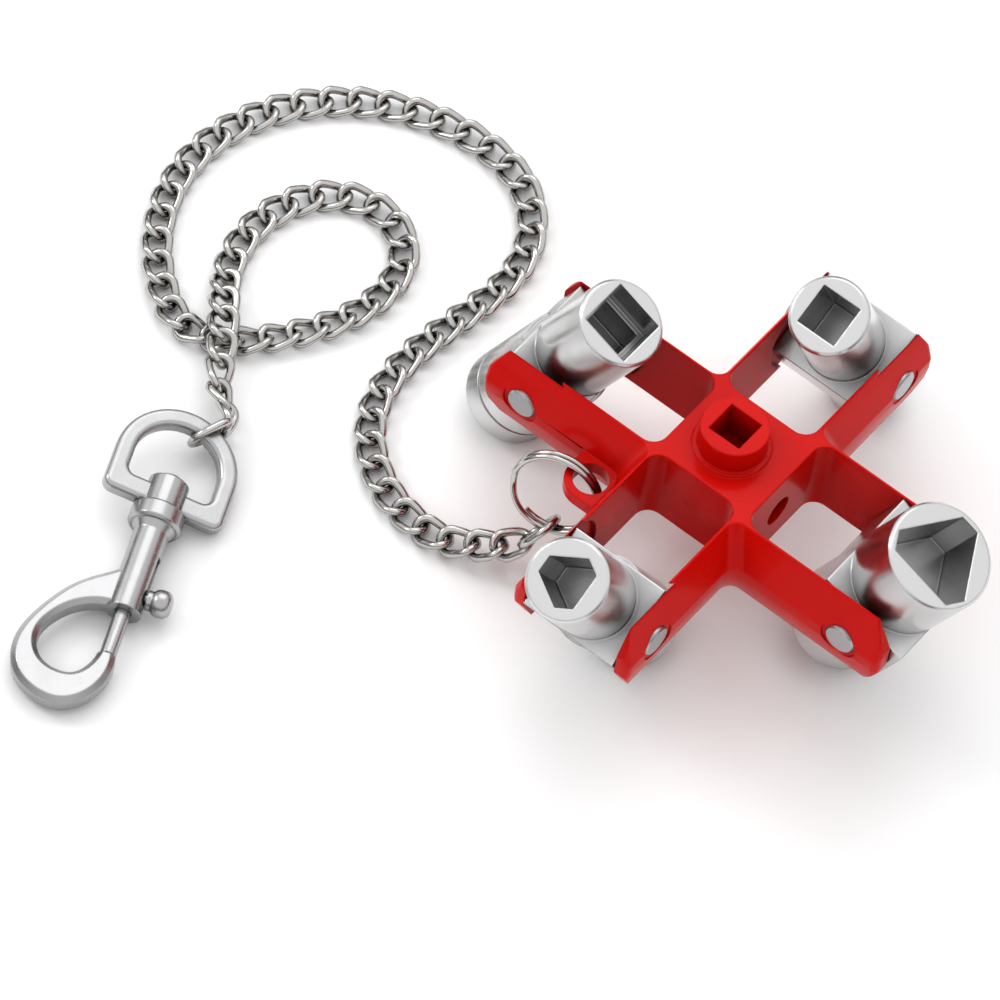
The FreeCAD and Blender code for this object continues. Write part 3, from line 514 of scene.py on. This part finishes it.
# %% [markdown]
# ## Materials: colour and nodes
# Colours are written as sRGB hex, as a paint maker would, and turned to the linear values that
# the renderer works in. One small function adds a node, sets it and links it.

# %% Material helpers
def linear(hex_colour):
    """sRGB hex, such as "C81E1E", as linear RGBA."""
    values = [int(hex_colour[i:i + 2], 16) / 255 for i in (0, 2, 4)]
    return (*[v / 12.92 if v <= 0.04045 else ((v + 0.055) / 1.055) ** 2.4 for v in values], 1)


def add(tree, kind, settings=None, **inputs):
    """A node of this kind. Inputs are values, or sockets to link."""
    node = tree.nodes.new("ShaderNode" + kind)
    for name, value in (settings or {}).items():
        setattr(node, name, value)
    for name, value in inputs.items():
        socket = node.inputs[name.replace("_", " ")]
        if isinstance(value, bpy.types.NodeSocket):
            tree.links.new(value, socket)
        else:
            socket.default_value = value
    return node


def material(name, **values):
    """A material with one Principled shader whose constant sockets are set, and its object coordinates."""
    made = bpy.data.materials.new(name)
    made.use_nodes = True
    shader = made.node_tree.nodes["Principled BSDF"]
    for socket, value in values.items():
        shader.inputs[socket.replace("_", " ")].default_value = value
    place = add(made.node_tree, "TexCoord").outputs["Object"]
    return made, made.node_tree, shader, place


def blend(tree, factor, first, second):
    """A colour between two sRGB hex colours, as a socket."""
    mix = add(tree, "Mix", {"data_type": "RGBA"}, Factor=factor)
    mix.inputs["A"].default_value = linear(first)
    mix.inputs["B"].default_value = linear(second)
    return mix.outputs["Result"]


def wear(piece, made):
    """Gives a piece its material."""
    piece.data.materials.clear()
    piece.data.materials.append(made)


# %% [markdown]
# ## Red enamel
# The cross is die-cast zinc under a thick gloss enamel. The film flows off sharp edges, so they
# catch a thin soft light, and it dries with a faint orange-peel of about a millimetre. In nooks,
# where the Ambient Occlusion node finds little open space, the red is darkened: painted shade.

# %% Red enamel
enamel, tree, shader, place = material(
    "enamel_gloss_red", Specular_IOR_Level=0.06, Coat_Weight=0.07, Coat_Roughness=0.05)
tone = add(tree, "TexNoise", Vector=place, Scale=1 / (14 * MM), Detail=2.0)
colour = blend(tree, tone.outputs["Fac"], "CC0C04", "BE0603")
# Painted shade: in nooks and between parts the base colour is darkened toward 3A0002 by the Ambient Occlusion
# factor.
nook_shade = add(tree, "AmbientOcclusion", {"samples": 8}, Distance=7 * MM)
depth = add(
    tree, "MapRange", Value=nook_shade.outputs["AO"], From_Min=0.2, From_Max=0.85, To_Min=0.45, To_Max=1.0)
# This mix is the painted shade, from dark red 3A0002 to the enamel's own colour.
deep = add(tree, "Mix", {"data_type": "RGBA"}, Factor=depth.outputs["Result"])
deep.inputs["A"].default_value = linear("3A0002")
tree.links.new(colour, deep.inputs["B"])
tree.links.new(deep.outputs["Result"], shader.inputs["Base Color"])
peel = add(tree, "TexNoise", Vector=place, Scale=1 / (1.4 * MM), Detail=1.0)
gloss = add(tree, "MapRange", Value=tone.outputs["Fac"], To_Min=0.24, To_Max=0.34)
tree.links.new(gloss.outputs["Result"], shader.inputs["Roughness"])
soft_edge = add(tree, "Bevel", {"samples": 6}, Radius=0.5 * MM)
bump = add(
    tree, "Bump", Height=peel.outputs["Fac"], Strength=0.05, Distance=0.1 * MM,
    Normal=soft_edge.outputs["Normal"])
tree.links.new(bump.outputs["Normal"], shader.inputs["Normal"])
print("enamel:", len(tree.nodes), "nodes")

# %% [markdown]
# ## Nickel on cast zinc
# The keys are zinc castings, tumbled and plated with bright nickel. Tumbling leaves soft edges
# and a slightly uneven skin, so reflections waver. Where the Ambient Occlusion node finds the metal
# shut in, in the sockets and beside the cheeks, its colour is darkened toward near black: painted shade.

# %% Plated zinc
def plated(name, colour, low, high, edge, waver):
    """Metal of this colour: its roughness from low to high, its edges' softness, its skin's depth."""
    made, tree, shader, place = material(name, Metallic=1.0)
    skin = add(tree, "TexNoise", Vector=place, Scale=1 / (3.2 * MM), Detail=3.0)
    # Painted shade: where the Ambient Occlusion node finds the metal shut in, the base colour is darkened
    # toward 0E0E10.
    hollow_shade = add(tree, "AmbientOcclusion", {"samples": 8}, Distance=11 * MM)
    painted_shade = add(
        tree, "MapRange", Value=hollow_shade.outputs["AO"], From_Min=0.05, From_Max=0.85, To_Min=0.22, To_Max=1.0)
    tree.links.new(blend(tree, painted_shade.outputs["Result"], "0E0E10", colour), shader.inputs["Base Color"])
    rough = add(tree, "MapRange", Value=skin.outputs["Fac"], To_Min=low, To_Max=high)
    tree.links.new(rough.outputs["Result"], shader.inputs["Roughness"])
    soft = add(tree, "Bevel", {"samples": 6}, Radius=edge)
    bump = add(
        tree, "Bump", Height=skin.outputs["Fac"], Strength=waver, Distance=0.2 * MM,
        Normal=soft.outputs["Normal"])
    tree.links.new(bump.outputs["Normal"], shader.inputs["Normal"])
    return made


key_nickel = plated("nickel_on_cast_zinc", "D2D2D2", 0.16, 0.30, 0.5 * MM, 0.12)
snap_nickel = plated("nickel_on_cast_zinc_satin", "ACACAD", 0.20, 0.34, 0.4 * MM, 0.10)
pin_steel = plated("turned_steel", "AEAFB2", 0.28, 0.38, 0.12 * MM, 0.05)
print("plated metals:", key_nickel.name, snap_nickel.name, pin_steel.name)

# %% [markdown]
# ## Nickel wire
# Chain, end links and split ring are drawn wire, bent and then bright plated. Drawn wire is
# smoother than a casting, so its highlights are narrow and its darks are deep.

# %% Wire
wire_nickel = plated("nickel_on_drawn_wire", "BDBBB8", 0.10, 0.20, 0.1 * MM, 0.04)
spring_wire = plated("spring_steel", "A7A8AB", 0.22, 0.32, 0.05 * MM, 0.04)

FINISHES = {
    "key_west": key_nickel, "key_east": key_nickel, "key_south": key_nickel, "key_north": key_nickel,
    "pin_west": pin_steel, "pin_east": pin_steel, "pin_south": pin_steel, "pin_north": pin_steel,
    "split_ring": wire_nickel, "chain_end_ring": wire_nickel, "chain_end_snap": wire_nickel,
    "snap_eye": snap_nickel, "snap_rivet": snap_nickel, "snap_body": snap_nickel,
    "snap_bolt": snap_nickel, "snap_knob": snap_nickel, "bolt_spring": spring_wire,
}
for node_name, finish in FINISHES.items():
    wear(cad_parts[node_name], finish)
wear(chain, wire_nickel)
wear(cross, enamel)
print("finishes on", len(FINISHES), "nodes")

# %% [markdown]
# ## Table
# The key lies on a matt white board with a very faint unevenness in its white.

# %% Table
bpy.ops.mesh.primitive_plane_add(size=6, location=(0, 0, cad_low.z - 0.02 * MM))
table = bpy.context.object
table.name = "table"
paper, tree, shader, place = material("matt_white_board", Roughness=0.9, Specular_IOR_Level=0.1)
grain = add(tree, "TexNoise", Vector=place, Scale=1 / (40 * MM), Detail=1.0)
tree.links.new(blend(tree, grain.outputs["Fac"], "FDFDFD", "F9F9F9"), shader.inputs["Base Color"])
wear(table, paper)
print("table at", round(table.location.z / MM, 1), "mm")

# %% [markdown]
# ## Light
# A broad light stands on the far side, where flat tops mirror it to the camera, and a second lower
# one on the left. The room is darker near the horizon than overhead, which gives the nickel its
# dark lines.

# %% Light
def softbox(name, place, aim, size, watts):
    """A round area light at a place, turned to its aim."""
    lamp = bpy.data.lights.new(name, "AREA")
    lamp.shape = "DISK"
    lamp.size = size
    lamp.energy = watts
    box = bpy.data.objects.new(name, lamp)
    box.location = place
    box.rotation_mode = "QUATERNION"
    box.rotation_quaternion = (Vector(aim) - Vector(place)).to_track_quat("-Z", "Y")
    bpy.context.scene.collection.objects.link(box)


mirrored = Vector((-back.x, -back.y, back.z))
softbox("panel", AIM + mirrored * 0.9, AIM, 0.75, 1.9)
softbox("left", (-0.7, -0.2, 0.5), AIM, 0.3, 1.6)

world = bpy.data.worlds.new("room")
world.use_nodes = True
tree = world.node_tree
sky = add(tree, "TexCoord").outputs["Generated"]
height = add(tree, "SeparateXYZ", Vector=sky).outputs["Z"]
ramp = add(tree, "ValToRGB", Fac=height)
ramp.color_ramp.elements[0].position = 0.1
ramp.color_ramp.elements[0].color = (0.03, 0.03, 0.03, 1)
ramp.color_ramp.elements[1].position = 0.5
ramp.color_ramp.elements[1].color = (1, 1, 1, 1)
tree.links.new(ramp.outputs["Color"], tree.nodes["Background"].inputs["Color"])
tree.nodes["Background"].inputs["Strength"].default_value = 1.1
bpy.context.scene.world = world
bpy.context.scene.view_settings.view_transform = "Standard"
print("lights:", [each.name for each in bpy.data.lights])
